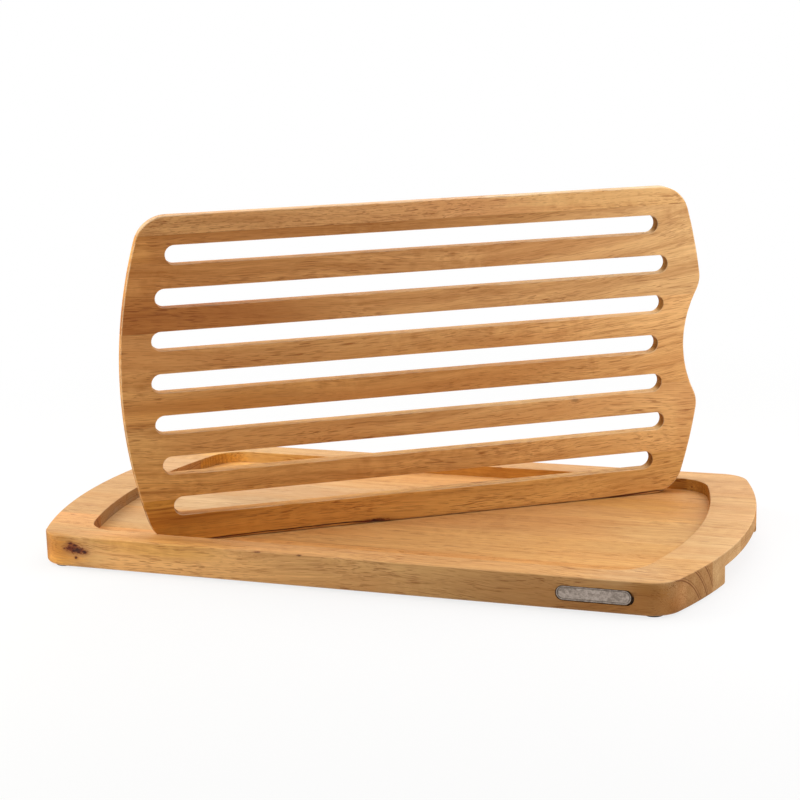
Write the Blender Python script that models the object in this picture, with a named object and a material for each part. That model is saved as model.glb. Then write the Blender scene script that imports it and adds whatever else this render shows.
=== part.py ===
# A two-piece wooden bread board, in metres, +Z up, with X along its length and Y from front to back.
# The tray is edge-glued from staves and has a sunk crumb well. The slatted grid is glued up the same
# way. Here the grid stands on its long edge in the well, turned so that its lower corners meet the
# front and back walls. The origin is on the surface that the feet stand on, under the tray's middle.

import math

import bmesh
import bpy
from mathutils import Matrix

# The tray
TRAY_LENGTH = 0.450
TRAY_WIDTH = 0.250
TRAY_THICKNESS = 0.020
TRAY_END_RADIUS = 0.320
TRAY_CORNER_RADIUS = 0.020
TRAY_TOP_ROUND = 0.0008
TRAY_BOTTOM_ROUND = 0.002
TRAY_STAVES = 5

# The crumb well
END_RIM = 0.030
SIDE_RIM = 0.019
WELL_DEPTH = 0.0078
WELL_END_RADIUS = 0.315
WELL_CORNER_RADIUS = 0.023
WELL_LIP_ROUND = 0.0006

# The finger hold under each short end
HOLD_WIDTH = 0.113
HOLD_DEPTH = 0.014
HOLD_CORNER_RADIUS = 0.006
HOLD_LIP_THICKNESS = 0.0083

# The grid
GRID_THICKNESS = 0.008
GRID_END_CLEARANCE = 0.0014
GRID_SIDE_CLEARANCE = 0.0018
GRID_CORNER_RADIUS = 0.021
GRID_EDGE_ROUND = 0.001
# Where the staves meet, from the lower long edge, as shares of the grid's width
GRID_JOINT_SHARES = (0.139, 0.368, 0.654, 0.944)

# The slots, in even rows between the grid's two edge bars
SLOT_COUNT = 7
SLOT_WIDTH = 0.012
EDGE_BAR = 0.0182
SLOT_EDGE_ROUND = 0.0006
SLOT_LEFT_LAND = 0.0189
SLOT_RIGHT_LAND = 0.0186
SLOT_LAND_GROWTH = 0.0017
TOP_SLOT_INSET = 0.0015

# The finger notch in the grid's right end
NOTCH_DEPTH = 0.0136
NOTCH_RADIUS = 0.075
NOTCH_SHOULDER_RADIUS = 0.020

# How the grid stands in the well
STAND_WALL_GAP = 0.0006
STAND_SHIFT = 0.0118
STAND_LEAN = math.radians(2.85)

# The metal badge in the front edge
BADGE_LENGTH = 0.0443
BADGE_HEIGHT = 0.0087
BADGE_THICKNESS = 0.0012
BADGE_EDGE_ROUND = 0.0003
BADGE_FROM_END = 0.06805
BADGE_SINK = 0.0004
POCKET_END_GAP = 0.0017

# The feet
FOOT_RADIUS = 0.006
FOOT_PROUD = 0.0013
FOOT_EDGE_ROUND = 0.0005
FOOT_FROM_END = 0.035
FOOT_FROM_SIDE = 0.0097
FOOT_SEAT_DEPTH = 0.001

# Fits
SEAT_GAP = 0.0003
GLUE_LINE = 0.00005
OVERRUN = 0.004

# How finely curves are cut
CORNER_STEPS = 8
END_STEPS = 14
SHOULDER_STEPS = 5
NOTCH_STEPS = 10
SLOT_END_STEPS = 12
ROUND_STEPS = 2
FOOT_STEPS = 24
SMOOTH_ANGLE = math.radians(35)

# Sizes and places that follow
TRAY_TOP = FOOT_PROUD + TRAY_THICKNESS
WELL_FLOOR = TRAY_TOP - WELL_DEPTH
WELL_LENGTH = TRAY_LENGTH - 2 * END_RIM
WELL_WIDTH = TRAY_WIDTH - 2 * SIDE_RIM
GRID_LENGTH = WELL_LENGTH - 2 * GRID_END_CLEARANCE
GRID_WIDTH = WELL_WIDTH - 2 * GRID_SIDE_CLEARANCE
GRID_END_RADIUS = WELL_END_RADIUS - GRID_END_CLEARANCE
SLOT_PITCH = (GRID_WIDTH - 2 * EDGE_BAR - SLOT_WIDTH) / (SLOT_COUNT - 1)
BADGE_X = TRAY_LENGTH / 2 - BADGE_FROM_END
BADGE_Z = FOOT_PROUD + TRAY_THICKNESS / 2
QUARTER = math.pi / 2


def clear_scene():
    for thing in list(bpy.data.objects):
        bpy.data.objects.remove(thing, do_unlink=True)


def make_material(name, colour, roughness, metallic=0.0):
    material = bpy.data.materials.new(name)
    material.use_nodes = True
    shader = material.node_tree.nodes["Principled BSDF"]
    shader.inputs["Base Color"].default_value = (*colour, 1.0)
    shader.inputs["Roughness"].default_value = roughness
    shader.inputs["Metallic"].default_value = metallic
    return material


# An outline is a closed chain of arcs, each (centre x, centre y, radius, from angle, to angle, steps).
# It runs anticlockwise. A hollow arc has a negative radius and turns clockwise, and a straight side
# is what lies between two arcs.


def barrel_corner(length, width, end_radius, corner_radius):
    """Centre x of the right end's arc, centre of the upper right corner's and where the two meet."""
    arc_x = length / 2 - end_radius
    corner_y = width / 2 - corner_radius
    corner_x = arc_x + math.sqrt((end_radius - corner_radius) ** 2 - corner_y**2)
    return arc_x, corner_x, corner_y, math.atan2(corner_y, corner_x - arc_x)


def barrel(length, width, end_radius, corner_radius, notched=False):
    """A rectangle with bulging ends and rounded corners."""
    arc_x, corner_x, corner_y, meet = barrel_corner(length, width, end_radius, corner_radius)
    right_end = [(arc_x, 0, end_radius, -meet, meet, END_STEPS)]
    if notched:
        right_end = notched_end(length, end_radius, arc_x, meet)
    return [
        (corner_x, -corner_y, corner_radius, -QUARTER, -meet, CORNER_STEPS),
        *right_end,
        (corner_x, corner_y, corner_radius, meet, QUARTER, CORNER_STEPS),
        (-corner_x, corner_y, corner_radius, QUARTER, math.pi - meet, CORNER_STEPS),
        (-arc_x, 0, end_radius, math.pi - meet, math.pi + meet, END_STEPS),
        (-corner_x, -corner_y, corner_radius, math.pi + meet, 3 * QUARTER, CORNER_STEPS),
    ]


def notched_end(length, end_radius, arc_x, meet):
    """The right end's arc with a hollow in its middle and a round shoulder on each side of it."""
    shoulder = NOTCH_SHOULDER_RADIUS
    notch_x = length / 2 - NOTCH_DEPTH + NOTCH_RADIUS
    inner = end_radius - shoulder
    outer = NOTCH_RADIUS + shoulder
    spread = notch_x - arc_x
    along = (inner**2 - outer**2 + spread**2) / (2 * spread)
    shoulder_x = arc_x + along
    shoulder_y = math.sqrt(inner**2 - along**2)
    leave = math.atan2(shoulder_y, along)
    hollow = math.atan2(shoulder_y, notch_x - shoulder_x)
    return [
        (arc_x, 0, end_radius, -meet, -leave, END_STEPS // 2),
        (shoulder_x, -shoulder_y, shoulder, -leave, hollow, SHOULDER_STEPS),
        (notch_x, 0, -NOTCH_RADIUS, math.pi + hollow, math.pi - hollow, NOTCH_STEPS),
        (shoulder_x, shoulder_y, shoulder, -hollow, leave, SHOULDER_STEPS),
        (arc_x, 0, end_radius, leave, meet, END_STEPS // 2),
    ]


def stadium(left, right, middle, width):
    """A slot with half-round ends, whose middle line is at height middle."""
    radius = width / 2
    return [
        (right - radius, middle, radius, -QUARTER, QUARTER, SLOT_END_STEPS),
        (left + radius, middle, radius, QUARTER, 3 * QUARTER, SLOT_END_STEPS),
    ]


def rounded_box(left, right, width, radius):
    corners = (
        (right - radius, radius - width / 2),
        (right - radius, width / 2 - radius),
        (left + radius, width / 2 - radius),
        (left + radius, radius - width / 2),
    )
    return [
        (x, y, radius, (turn - 1) * QUARTER, turn * QUARTER, CORNER_STEPS)
        for turn, (x, y) in enumerate(corners)
    ]


def disc(x, y, radius):
    return [(x, y, radius, 0, 2 * math.pi, FOOT_STEPS)]


def trace(outline, grow=0.0):
    """The outline's points, moved outwards by grow."""
    points = []
    for centre_x, centre_y, radius, start, stop, steps in outline:
        reach = abs(radius + grow)
        for step in range(steps + 1):
            angle = start + (stop - start) * step / steps
            point = (centre_x + reach * math.cos(angle), centre_y + reach * math.sin(angle))
            if not points or math.dist(points[-1], point) > GLUE_LINE:
                points.append(point)
    if math.dist(points[0], points[-1]) <= GLUE_LINE:
        points.pop()
    return points


def rounding(edge_round):
    """Steps of a quarter round: (how far in from the face, how far in from the side)."""
    angles = [QUARTER * step / ROUND_STEPS for step in range(ROUND_STEPS + 1)]
    return [
        (edge_round * (1 - math.cos(angle)), edge_round * (1 - math.sin(angle))) for angle in angles
    ]


def slab_levels(low, high, low_round, high_round):
    """Levels of a plate whose lower and upper edges are rounded over."""
    lower = [(low + depth, -inset) for depth, inset in rounding(low_round)]
    upper = [(high - depth, -inset) for depth, inset in rounding(high_round)]
    return lower + upper[::-1]


def through_cut_levels(low, high, edge_round):
    """Levels of a cut right through a plate that rounds over both of the edges it leaves."""
    lower = [(low + depth, inset) for depth, inset in rounding(edge_round)]
    upper = [(high - depth, inset) for depth, inset in rounding(edge_round)]
    return [(low - OVERRUN, edge_round), *lower, *upper[::-1], (high + OVERRUN, edge_round)]


def blind_cut_levels(floor, face, edge_round):
    """Levels of a pocket, from its floor to the face that it opens in."""
    upper = [(face - depth, inset) for depth, inset in rounding(edge_round)]
    return [(floor, 0.0), *upper[::-1], (face + OVERRUN, edge_round)]


def smoothed(mesh):
    mesh.shade_smooth()
    mesh.set_sharp_from_angle(angle=SMOOTH_ANGLE)
    return mesh


def loft(name, outline, levels):
    """A closed mesh through one ring of the outline at each level, (height, growth), lowest first."""
    shape = bmesh.new()
    rings = []
    for height, grow in levels:
        rings.append([shape.verts.new((x, y, height)) for x, y in trace(outline, grow)])
    for lower, upper in zip(rings, rings[1:]):
        for index, corner in enumerate(lower):
            after = (index + 1) % len(lower)
            shape.faces.new((corner, lower[after], upper[after], upper[index]))
    shape.faces.new(rings[0][::-1])
    shape.faces.new(rings[-1])
    mesh = bpy.data.meshes.new(name)
    shape.to_mesh(mesh)
    shape.free()
    return mesh


def strip(name, length, front, back, low, high):
    """A plain box across the whole length, from front to back."""
    shape = bmesh.new()
    middle = Matrix.Translation((0, (front + back) / 2, (low + high) / 2))
    size = Matrix.Diagonal((length, back - front, high - low, 1))
    bmesh.ops.create_cube(shape, size=1, matrix=middle @ size)
    mesh = bpy.data.meshes.new(name)
    shape.to_mesh(mesh)
    shape.free()
    return mesh


def carve(name, blank, cuts, keep=None):
    """The blank less every cut and, where keep is given, only what lies inside it."""
    body = bpy.data.objects.new(name, blank)
    bpy.context.scene.collection.objects.link(body)
    tools = [("DIFFERENCE", cut) for cut in cuts]
    if keep:
        tools.append(("INTERSECT", keep))
    helpers = []
    for operation, tool in tools:
        helper = bpy.data.objects.new(tool.name, tool)
        bpy.context.scene.collection.objects.link(helper)
        modifier = body.modifiers.new(tool.name, "BOOLEAN")
        modifier.operation = operation
        modifier.solver = "EXACT"
        modifier.object = helper
        helpers.append(helper)
    graph = bpy.context.evaluated_depsgraph_get()
    carved = bpy.data.meshes.new_from_object(body.evaluated_get(graph))
    carved.name = name
    for thing in (body, *helpers):
        bpy.data.objects.remove(thing, do_unlink=True)
    return carved


def add_piece(name, mesh, material, parent=None):
    piece = bpy.data.objects.new(name, smoothed(mesh))
    bpy.context.scene.collection.objects.link(piece)
    piece.parent = parent
    mesh.materials.clear()
    mesh.materials.append(material)
    return piece


def hold_cut(side):
    """The finger hold under one short end: side is 1 on the right and -1 on the left."""
    inner = TRAY_LENGTH / 2 - HOLD_DEPTH
    outer = TRAY_LENGTH / 2 + HOLD_CORNER_RADIUS + OVERRUN
    outline = rounded_box(inner, outer, HOLD_WIDTH, HOLD_CORNER_RADIUS)
    levels = [(FOOT_PROUD - OVERRUN, 0.0), (TRAY_TOP - HOLD_LIP_THICKNESS, 0.0)]
    cut = loft("hold_cut", outline, levels)
    if side < 0:
        cut.transform(Matrix.Rotation(math.pi, 4, "Z"))
    return cut


def on_front_edge(mesh):
    """Turns a shape built face up so that its face looks to the front, at the badge's place."""
    place = Matrix.Translation((BADGE_X, -TRAY_WIDTH / 2, BADGE_Z))
    mesh.transform(place @ Matrix.Rotation(QUARTER, 4, "X"))
    return mesh


def pocket_cut():
    """The badge's pocket: close to the plate, with some play at its right end."""
    left = -BADGE_LENGTH / 2 - SEAT_GAP
    right = BADGE_LENGTH / 2 + POCKET_END_GAP
    outline = stadium(left, right, 0, BADGE_HEIGHT + 2 * SEAT_GAP)
    depth = BADGE_SINK + BADGE_THICKNESS + SEAT_GAP
    return on_front_edge(loft("pocket_cut", outline, [(-depth, 0.0), (OVERRUN, 0.0)]))


def badge_plate():
    outline = stadium(-BADGE_LENGTH / 2, BADGE_LENGTH / 2, 0, BADGE_HEIGHT)
    back = -BADGE_SINK - BADGE_THICKNESS
    levels = [(back, 0.0), *slab_levels(back, -BADGE_SINK, 0.0, BADGE_EDGE_ROUND)[-ROUND_STEPS - 1 :]]
    return on_front_edge(loft("badge_plate", outline, levels))


def foot_places():
    across = TRAY_LENGTH / 2 - FOOT_FROM_END
    along = TRAY_WIDTH / 2 - FOOT_FROM_SIDE
    return {
        "foot_front_left": (-across, -along),
        "foot_front_right": (across, -along),
        "foot_back_left": (-across, along),
        "foot_back_right": (across, along),
    }


def seat_cut(x, y):
    outline = disc(x, y, FOOT_RADIUS + SEAT_GAP)
    return loft("seat_cut", outline, [(-OVERRUN, 0.0), (FOOT_PROUD + FOOT_SEAT_DEPTH, 0.0)])


def foot(name, x, y):
    top = FOOT_PROUD + FOOT_SEAT_DEPTH - SEAT_GAP
    levels = [*slab_levels(0.0, top, FOOT_EDGE_ROUND, 0.0)[: ROUND_STEPS + 1], (top, 0.0)]
    return loft(name, disc(x, y, FOOT_RADIUS), levels)


def tray_blank():
    outline = barrel(TRAY_LENGTH, TRAY_WIDTH, TRAY_END_RADIUS, TRAY_CORNER_RADIUS)
    levels = slab_levels(FOOT_PROUD, TRAY_TOP, TRAY_BOTTOM_ROUND, TRAY_TOP_ROUND)
    well = barrel(WELL_LENGTH, WELL_WIDTH, WELL_END_RADIUS, WELL_CORNER_RADIUS)
    cuts = [
        loft("well_cut", well, blind_cut_levels(WELL_FLOOR, TRAY_TOP, WELL_LIP_ROUND)),
        hold_cut(1),
        hold_cut(-1),
        pocket_cut(),
        *[seat_cut(x, y) for x, y in foot_places().values()],
    ]
    return carve("tray_blank", loft("tray_plate", outline, levels), cuts)


def split(blank, name, joints, length, low, high):
    """The blank's staves, cut apart at the joints' places across it."""
    staves = []
    for index, (front, back) in enumerate(zip(joints, joints[1:])):
        stave = f"{name}_{index + 1}"
        keep = strip(stave + "_keep", length, front + GLUE_LINE / 2, back - GLUE_LINE / 2, low, high)
        staves.append(carve(stave, blank.copy(), [], keep))
    return staves


def make_tray(woods):
    joints = [TRAY_WIDTH * (index / TRAY_STAVES - 0.5) for index in range(TRAY_STAVES + 1)]
    joints[0] -= OVERRUN
    joints[-1] += OVERRUN
    length = TRAY_LENGTH + 2 * OVERRUN
    staves = split(tray_blank(), "tray_stave", joints, length, -OVERRUN, TRAY_TOP + OVERRUN)
    for stave, wood in zip(staves, woods):
        add_piece(stave.name, stave, wood)


def right_edge(outline, y):
    """How far right the outline reaches at height y."""
    points = trace(outline)
    for (x0, y0), (x1, y1) in zip(points, points[1:]):
        if min(x0, x1) > 0 and min(y0, y1) <= y < max(y0, y1):
            return x0 + (x1 - x0) * (y - y0) / (y1 - y0)
    return max(x for x, _ in points)


def slot_cuts(outline, plain):
    """The slots, whose ends keep their lands to the grid's bulging left end and notched right end.

    The top one starts a little further in, clear of the corner's round.
    """
    cuts = []
    for row in range(SLOT_COUNT):
        place = row - (SLOT_COUNT - 1) / 2
        middle = place * SLOT_PITCH
        left = SLOT_LEFT_LAND - right_edge(plain, middle)
        if row == SLOT_COUNT - 1:
            left += TOP_SLOT_INSET
        right = right_edge(outline, middle) - SLOT_RIGHT_LAND - abs(place) * SLOT_LAND_GROWTH
        levels = through_cut_levels(-GRID_THICKNESS / 2, GRID_THICKNESS / 2, SLOT_EDGE_ROUND)
        cuts.append(loft("slot_cut", stadium(left, right, middle, SLOT_WIDTH), levels))
    return cuts


def make_stand():
    """An empty on the line along which the grid lifts, turned as the grid stands in the well."""
    _, corner_x, _, _ = barrel_corner(GRID_LENGTH, GRID_WIDTH, GRID_END_RADIUS, GRID_CORNER_RADIUS)
    # Half of what the grid spans at the height of the well's lip, on the round of its lower corners
    rise = max(0.0, GRID_CORNER_RADIUS + SEAT_GAP - WELL_DEPTH)
    reach = corner_x + math.sqrt(GRID_CORNER_RADIUS**2 - rise**2)
    across = WELL_WIDTH - 2 * STAND_WALL_GAP
    yaw = math.asin(across / math.hypot(2 * reach, GRID_THICKNESS))
    yaw -= math.atan2(GRID_THICKNESS, 2 * reach)
    # The lean brings the middle forward at the lip, and the front of the lower edge to the floor
    forward = WELL_DEPTH * math.tan(STAND_LEAN) * math.cos(yaw)
    toe = (GRID_THICKNESS / 2 - GRID_EDGE_ROUND) * math.sin(STAND_LEAN)
    middle = WELL_FLOOR + SEAT_GAP + toe + GRID_WIDTH / 2 * math.cos(STAND_LEAN)
    back = GRID_WIDTH / 2 * math.sin(STAND_LEAN)
    stand = bpy.data.objects.new("grid_stand", None)
    bpy.context.scene.collection.objects.link(stand)
    stand.location = (
        STAND_SHIFT + back * math.sin(yaw),
        forward - back * math.cos(yaw),
        middle,
    )
    stand.rotation_euler = (QUARTER + STAND_LEAN, 0, yaw)
    return stand


def make_grid(woods):
    plain = barrel(GRID_LENGTH, GRID_WIDTH, GRID_END_RADIUS, GRID_CORNER_RADIUS)
    outline = barrel(GRID_LENGTH, GRID_WIDTH, GRID_END_RADIUS, GRID_CORNER_RADIUS, notched=True)
    face = GRID_THICKNESS / 2
    plate = loft("grid_plate", outline, slab_levels(-face, face, GRID_EDGE_ROUND, GRID_EDGE_ROUND))
    blank = carve("grid_blank", plate, slot_cuts(outline, plain))
    inner_joints = [GRID_WIDTH * (share - 0.5) for share in GRID_JOINT_SHARES]
    edge = GRID_WIDTH / 2 + OVERRUN
    length = GRID_LENGTH + 2 * OVERRUN
    joints = [-edge, *inner_joints, edge]
    staves = split(blank, "grid_stave", joints, length, -face - OVERRUN, face + OVERRUN)
    stand = make_stand()
    for stave, wood in zip(staves, woods):
        add_piece(stave.name, stave, wood, stand)


# Wood tones of the staves, from the front of the tray and from the lower edge of the grid
TRAY_TONES = (
    (0.60, 0.32, 0.13),
    (0.62, 0.32, 0.12),
    (0.64, 0.34, 0.13),
    (0.58, 0.29, 0.11),
    (0.63, 0.33, 0.12),
)
GRID_TONES = (
    (0.45, 0.20, 0.07),
    (0.56, 0.28, 0.10),
    (0.56, 0.27, 0.10),
    (0.54, 0.26, 0.09),
    (0.62, 0.33, 0.13),
)


def tones(name, count, colours):
    """One oiled wood for each stave, taking the tones in turn."""
    return [
        make_material(f"{name}_{index + 1}", colours[index % len(colours)], 0.45)
        for index in range(count)
    ]


def main():
    clear_scene()
    make_tray(tones("tray_wood", TRAY_STAVES, TRAY_TONES))
    make_grid(tones("grid_wood", len(GRID_JOINT_SHARES) + 1, GRID_TONES))
    add_piece("badge_plate", badge_plate(), make_material("pewter", (0.42, 0.41, 0.40), 0.4, 1.0))
    rubber = make_material("black_rubber", (0.02, 0.02, 0.02), 0.7)
    for name, (x, y) in foot_places().items():
        add_piece(name, foot(name, x, y), rubber)


main()
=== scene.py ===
import math

import bmesh
import bpy
from mathutils import Matrix, Vector


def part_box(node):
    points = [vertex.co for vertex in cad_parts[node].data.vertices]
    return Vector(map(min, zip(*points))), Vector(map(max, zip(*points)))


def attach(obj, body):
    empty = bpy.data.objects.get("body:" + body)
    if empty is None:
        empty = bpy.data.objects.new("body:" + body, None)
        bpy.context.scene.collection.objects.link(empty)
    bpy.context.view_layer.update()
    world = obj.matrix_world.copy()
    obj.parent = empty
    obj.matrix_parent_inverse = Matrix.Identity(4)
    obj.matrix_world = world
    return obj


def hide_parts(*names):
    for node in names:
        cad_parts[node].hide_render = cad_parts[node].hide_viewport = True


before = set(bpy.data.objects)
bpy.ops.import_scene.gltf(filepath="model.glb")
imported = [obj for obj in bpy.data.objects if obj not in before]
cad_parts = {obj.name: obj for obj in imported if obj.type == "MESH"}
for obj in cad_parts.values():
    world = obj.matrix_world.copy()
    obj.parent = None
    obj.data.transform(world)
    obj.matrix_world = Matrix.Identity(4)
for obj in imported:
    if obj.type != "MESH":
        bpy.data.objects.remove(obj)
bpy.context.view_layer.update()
scene = bpy.context.scene
scene.view_settings.view_transform = "Standard"
print("frame loaded")

quarter = math.pi / 2
mm = 0.001

# How finely curves are cut, in steps. Edges under smoothBelow look smooth, and overrun is how far
# a cut runs past a face.
fineness = {
    "corner": 18,
    "end": 44,
    "shoulder": 10,
    "notch": 22,
    "slotEnd": 26,
    "round": 4,
    "foot": 48,
    "smoothBelow": math.radians(32),
    "overrun": 4 * mm,
}


def boxOf(names):
    lows, highs = zip(*[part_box(name) for name in names])
    return Vector(map(min, zip(*lows))), Vector(map(max, zip(*highs)))


def barrelCorner(length, width, endRadius, cornerRadius):
    arcX = length / 2 - endRadius
    cornerY = width / 2 - cornerRadius
    cornerX = arcX + math.sqrt((endRadius - cornerRadius) ** 2 - cornerY**2)
    return arcX, cornerX, cornerY, math.atan2(cornerY, cornerX - arcX)


# An outline is a closed chain of arcs (centre x, centre y, radius, from, to, steps), anticlockwise.
# A hollow arc has a negative radius, and a straight side is what lies between two arcs.
def barrel(length, width, endRadius, cornerRadius, notch=None):
    arcX, cornerX, cornerY, meet = barrelCorner(length, width, endRadius, cornerRadius)
    steps, endSteps = fineness["corner"], fineness["end"]
    rightEnd = [(arcX, 0, endRadius, -meet, meet, endSteps)]
    if notch:
        rightEnd = notchedEnd(length, endRadius, arcX, meet, notch)
    return [
        (cornerX, -cornerY, cornerRadius, -quarter, -meet, steps),
        *rightEnd,
        (cornerX, cornerY, cornerRadius, meet, quarter, steps),
        (-cornerX, cornerY, cornerRadius, quarter, math.pi - meet, steps),
        (-arcX, 0, endRadius, math.pi - meet, math.pi + meet, endSteps),
        (-cornerX, -cornerY, cornerRadius, math.pi + meet, 3 * quarter, steps),
    ]


def notchedEnd(length, endRadius, arcX, meet, notch):
    depth, hollow, shoulder = notch
    notchX = length / 2 - depth + hollow
    inner, outer, spread = endRadius - shoulder, hollow + shoulder, notchX - arcX
    along = (inner**2 - outer**2 + spread**2) / (2 * spread)
    shoulderX, shoulderY = arcX + along, math.sqrt(inner**2 - along**2)
    leave, turn = math.atan2(shoulderY, along), math.atan2(shoulderY, notchX - shoulderX)
    halfSteps, shoulderSteps = fineness["end"] // 2, fineness["shoulder"]
    return [
        (arcX, 0, endRadius, -meet, -leave, halfSteps),
        (shoulderX, -shoulderY, shoulder, -leave, turn, shoulderSteps),
        (notchX, 0, -hollow, math.pi + turn, math.pi - turn, fineness["notch"]),
        (shoulderX, shoulderY, shoulder, -turn, leave, shoulderSteps),
        (arcX, 0, endRadius, leave, meet, halfSteps),
    ]


def stadium(left, right, middle, width):
    radius, steps = width / 2, fineness["slotEnd"]
    return [
        (right - radius, middle, radius, -quarter, quarter, steps),
        (left + radius, middle, radius, quarter, 3 * quarter, steps),
    ]


def roundedBox(left, right, width, radius):
    x0, x1, y0, y1 = left + radius, right - radius, radius - width / 2, width / 2 - radius
    corners = ((x1, y0), (x1, y1), (x0, y1), (x0, y0))
    return [
        (x, y, radius, (turn - 1) * quarter, turn * quarter, fineness["corner"])
        for turn, (x, y) in enumerate(corners)
    ]


def trace(outline, grow=0.0, closeness=0.02 * mm):
    points = []
    for centreX, centreY, radius, start, stop, steps in outline:
        reach = abs(radius + grow)
        for step in range(steps + 1):
            angle = start + (stop - start) * step / steps
            point = (centreX + reach * math.cos(angle), centreY + reach * math.sin(angle))
            if not points or math.dist(points[-1], point) > closeness:
                points.append(point)
    if math.dist(points[0], points[-1]) <= closeness:
        points.pop()
    return points


def quarterRound(radius):
    angles = [quarter * step / fineness["round"] for step in range(fineness["round"] + 1)]
    return [(radius * (1 - math.cos(angle)), radius * (1 - math.sin(angle))) for angle in angles]


def slabLevels(low, high, lowRound, highRound):
    lower = [(low + depth, -inset) for depth, inset in quarterRound(lowRound)]
    upper = [(high - depth, -inset) for depth, inset in quarterRound(highRound)]
    return lower + upper[::-1]


def throughLevels(low, high, edgeRound):
    lower = [(low + depth, inset) for depth, inset in quarterRound(edgeRound)]
    upper = [(high - depth, inset) for depth, inset in quarterRound(edgeRound)]
    over = fineness["overrun"]
    return [(low - over, edgeRound), *lower, *upper[::-1], (high + over, edgeRound)]


def blindLevels(floor, face, edgeRound):
    upper = [(face - depth, inset) for depth, inset in quarterRound(edgeRound)]
    return [(floor, 0.0), *upper[::-1], (face + fineness["overrun"], edgeRound)]


def meshOf(name, shape):
    mesh = bpy.data.meshes.new(name)
    shape.to_mesh(mesh)
    shape.free()
    return mesh


# A loft stands an outline on each level, which is (height, how far the outline grows there)
def loft(name, outline, levels):
    shape = bmesh.new()
    rings = [[shape.verts.new((x, y, z)) for x, y in trace(outline, grow)] for z, grow in levels]
    for lower, upper in zip(rings, rings[1:]):
        for index, corner in enumerate(lower):
            after = (index + 1) % len(lower)
            shape.faces.new((corner, lower[after], upper[after], upper[index]))
    shape.faces.new(rings[0][::-1])
    shape.faces.new(rings[-1])
    return meshOf(name, shape)


def block(name, low, high):
    shape = bmesh.new()
    middle = Matrix.Translation((Vector(low) + Vector(high)) / 2)
    size = Matrix.Diagonal((*(Vector(high) - Vector(low)), 1))
    bmesh.ops.create_cube(shape, size=1, matrix=middle @ size)
    return meshOf(name, shape)


# Takes the cuts out of a blank, and then keeps only what lies in one block
def carve(name, blank, cuts, keep=None):
    body = bpy.data.objects.new(name, blank)
    scene.collection.objects.link(body)
    helpers = []
    for job, tool in [("DIFFERENCE", cut) for cut in cuts] + [("INTERSECT", keep)] * bool(keep):
        helper = bpy.data.objects.new(tool.name, tool)
        scene.collection.objects.link(helper)
        modifier = body.modifiers.new(tool.name, "BOOLEAN")
        modifier.operation, modifier.solver, modifier.object = job, "EXACT", helper
        helpers.append(helper)
    graph = bpy.context.evaluated_depsgraph_get()
    carved = bpy.data.meshes.new_from_object(body.evaluated_get(graph))
    carved.name = name
    for thing in (body, *helpers):
        bpy.data.objects.remove(thing, do_unlink=True)
    return carved


# A piece is shaded smooth, with its flat faces kept flat up to their rounded edges
def addPiece(name, mesh, finish, body, node, place):
    mesh.shade_smooth()
    mesh.set_sharp_from_angle(angle=fineness["smoothBelow"])
    mesh.materials.clear()
    mesh.materials.append(finish)
    piece = bpy.data.objects.new(name, mesh)
    scene.collection.objects.link(piece)
    piece.matrix_world = place
    piece.modifiers.new("flatFaces", "WEIGHTED_NORMAL").keep_sharp = True
    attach(piece, body)
    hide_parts(node)


# Shader building
def plug(tree, socket, value):
    if isinstance(value, bpy.types.NodeSocket):
        tree.links.new(value, socket)
    else:
        socket.default_value = value


def calc(tree, job, *values, clamp=False):
    node = tree.nodes.new("ShaderNodeMath")
    node.operation, node.use_clamp = job, clamp
    for socket, value in zip(node.inputs, values):
        plug(tree, socket, value)
    return node.outputs[0]


def vectorCalc(tree, job, *values):
    node = tree.nodes.new("ShaderNodeVectorMath")
    node.operation = job
    for socket, value in zip(node.inputs, values):
        plug(tree, socket, value)
    return node.outputs["Value" if job in ("LENGTH", "DOT_PRODUCT") else "Vector"]


def scaled(tree, vector, amount):
    result = vectorCalc(tree, "SCALE", vector)
    plug(tree, result.node.inputs["Scale"], amount)
    return result


def placeInMillimetres(tree):
    where = tree.nodes.new("ShaderNodeTexCoord")
    return where, scaled(tree, where.outputs["Object"], 1 / mm)


# How far a spot is from a place, where 1 is the patch's own size
def howFar(tree, spot, place, size):
    away = vectorCalc(tree, "SUBTRACT", spot, place)
    return vectorCalc(tree, "LENGTH", vectorCalc(tree, "DIVIDE", away, size))


# How squarely the surface faces along an axis, from 0 to 1
def facing(tree, where, axis):
    return vectorCalc(tree, "LENGTH", vectorCalc(tree, "MULTIPLY", where.outputs["Normal"], axis))


def noise(tree, vector, detail=2.0, roughness=0.5, output="Fac"):
    node = tree.nodes.new("ShaderNodeTexNoise")
    plug(tree, node.inputs["Vector"], vector)
    node.inputs["Scale"].default_value = 1.0
    node.inputs["Detail"].default_value = detail
    node.inputs["Roughness"].default_value = roughness
    return node.outputs[output]


def fade(tree, value, low, high, lowOut=0.0, highOut=1.0):
    node = tree.nodes.new("ShaderNodeMapRange")
    node.interpolation_type = "SMOOTHSTEP"
    for socket, number in zip(node.inputs, (value, low, high, lowOut, highOut)):
        plug(tree, socket, number)
    return node.outputs[0]


def tint(tree, share, first, second):
    node = tree.nodes.new("ShaderNodeMix")
    node.data_type = "RGBA"
    plug(tree, node.inputs["Factor"], share)
    for socket, colour in zip([s for s in node.inputs if s.type == "RGBA"], (first, second)):
        plug(tree, socket, colour if isinstance(colour, bpy.types.NodeSocket) else (*colour, 1.0))
    return next(s for s in node.outputs if s.type == "RGBA")


def addRelief(tree, shader, height, depth, strength):
    relief = tree.nodes.new("ShaderNodeBump")
    relief.inputs["Strength"].default_value = strength
    relief.inputs["Distance"].default_value = depth
    plug(tree, relief.inputs["Height"], height)
    plug(tree, shader.inputs["Normal"], relief.outputs["Normal"])


def newFinish(name):
    finish = bpy.data.materials.new(name)
    finish.use_nodes = True
    return finish, finish.node_tree, finish.node_tree.nodes["Principled BSDF"]


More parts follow.
